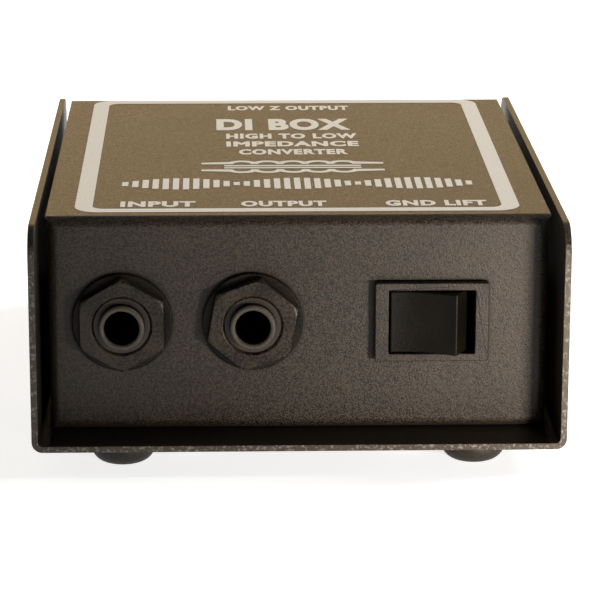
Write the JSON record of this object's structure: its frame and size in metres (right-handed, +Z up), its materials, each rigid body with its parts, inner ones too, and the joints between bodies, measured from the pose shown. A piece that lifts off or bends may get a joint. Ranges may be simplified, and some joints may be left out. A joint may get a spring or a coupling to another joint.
{
  "type": "direct injection box",
  "caption": "Small folded-steel audio interface box on rubber bumpers, with two front jack sockets, a ground lift rocker switch and a rear three-pin male connector.",
  "frame": {"origin": "middle of the footprint, on the surface that the rubber bumpers stand on", "axes": "+Z up, +Y towards the rear connector (the front panel faces -Y), +X to the right seen from the front"},
  "size_m": [0.0984, 0.124, 0.0465],
  "materials": {
    "cover_coat": "fine textured powder coat, near-black brown",
    "panel_coat": "fine textured powder coat, near-black brown",
    "bumper_rubber": "matt moulded rubber",
    "zinc_steel": "bright zinc plate",
    "screw_steel": "plated, satin",
    "black_plastic": "moulded, satin",
    "jack_nut_finish": "moulded, satin",
    "jack_washer_finish": "moulded, satin",
    "ferrule_plating": "dark nickel plate, dull inside the bore",
    "contact_brass": "rolled strip",
    "switch_plastic": "moulded, satin",
    "rocker_plastic": "moulded, semi-gloss",
    "insert_plastic": "moulded",
    "spring_steel": "drawn wire",
    "contact_copper": "silver-plated copper, tarnished",
    "connector_casting": "nickel-plated casting",
    "pin_plating": "gold flash",
    "lamination_steel": "varnished laminations",
    "bobbin_plastic": "moulded nylon",
    "winding_tape": "polyester tape",
    "board_laminate": "solder mask",
    "resistor_coat": "lacquer with colour bands",
    "capacitor_coat": "dipped",
    "wire_sleeve": "PVC sleeves in several colours"
  },
  "bodies": {
    "case": {"outer_cover": "cover_coat", "chassis": "panel_coat", "bumper_front_left": "bumper_rubber", "bumper_front_right": "bumper_rubber", "bumper_rear_left": "bumper_rubber", "bumper_rear_right": "bumper_rubber", "underside_screws": "zinc_steel", "clinch_nuts": "zinc_steel", "input_jack_housing": "black_plastic", "input_jack_washer": "jack_washer_finish", "input_jack_nut": "jack_nut_finish", "input_jack_ferrule": "ferrule_plating", "input_jack_tags": "contact_brass", "thru_jack_housing": "black_plastic", "thru_jack_washer": "jack_washer_finish", "thru_jack_nut": "jack_nut_finish", "thru_jack_ferrule": "ferrule_plating", "thru_jack_tags": "contact_brass", "switch_housing": "switch_plastic", "switch_terminals": "contact_copper", "connector_shell": "connector_casting", "connector_insert": "insert_plastic", "connector_pins": "pin_plating", "connector_screws": "screw_steel", "connector_nuts": "zinc_steel", "transformer_core": "lamination_steel", "transformer_bobbin": "bobbin_plastic", "transformer_winding": "winding_tape", "transformer_frame": "zinc_steel", "transformer_nuts": "zinc_steel", "circuit_board": "board_laminate", "board_spacers": "zinc_steel", "board_screws": "screw_steel", "board_resistors": "resistor_coat", "board_capacitor": "capacitor_coat", "board_posts": "pin_plating", "jack_link_wires": "wire_sleeve", "primary_wires": "wire_sleeve", "secondary_wires": "wire_sleeve", "ground_wires": "wire_sleeve", "switch_wires": "wire_sleeve"},
    "rocker": {"switch_rocker": "rocker_plastic", "switch_plunger": "insert_plastic", "switch_plunger_spring": "spring_steel"},
    "contact_lever": {"switch_contact_lever": "contact_copper"},
    "input_tip_spring": {"input_jack_tip_spring": "contact_brass"},
    "thru_tip_spring": {"thru_jack_tip_spring": "contact_brass"}
  },
  "joints": [
    {"name": "rocker_tilt", "type": "hinge", "parent": "case", "child": "rocker", "pos_m": [0.0246, -0.048, 0.0267], "axis": [0, 0, 1], "range_deg": [0, 26]},
    {"name": "contact_lever_tilt", "type": "hinge", "parent": "case", "child": "contact_lever", "pos_m": [0.0246, -0.0394, 0.0267], "axis": [0, 0, 1], "range_deg": [-16, 0]},
    {"name": "input_tip_spring_bend", "type": "hinge", "parent": "case", "child": "input_tip_spring", "pos_m": [-0.0326, -0.0427, 0.0328], "axis": [1, 0, 0], "range_deg": [0, 7], "stiffness_Nm_per_rad": 0.1},
    {"name": "thru_tip_spring_bend", "type": "hinge", "parent": "case", "child": "thru_tip_spring", "pos_m": [-0.0085, -0.0427, 0.0328], "axis": [1, 0, 0], "range_deg": [0, 7], "stiffness_Nm_per_rad": 0.1}
  ],
  "couplings": [
    {"joint": "contact_lever_tilt", "follows": "rocker_tilt", "ratio": -0.615}
  ]
}
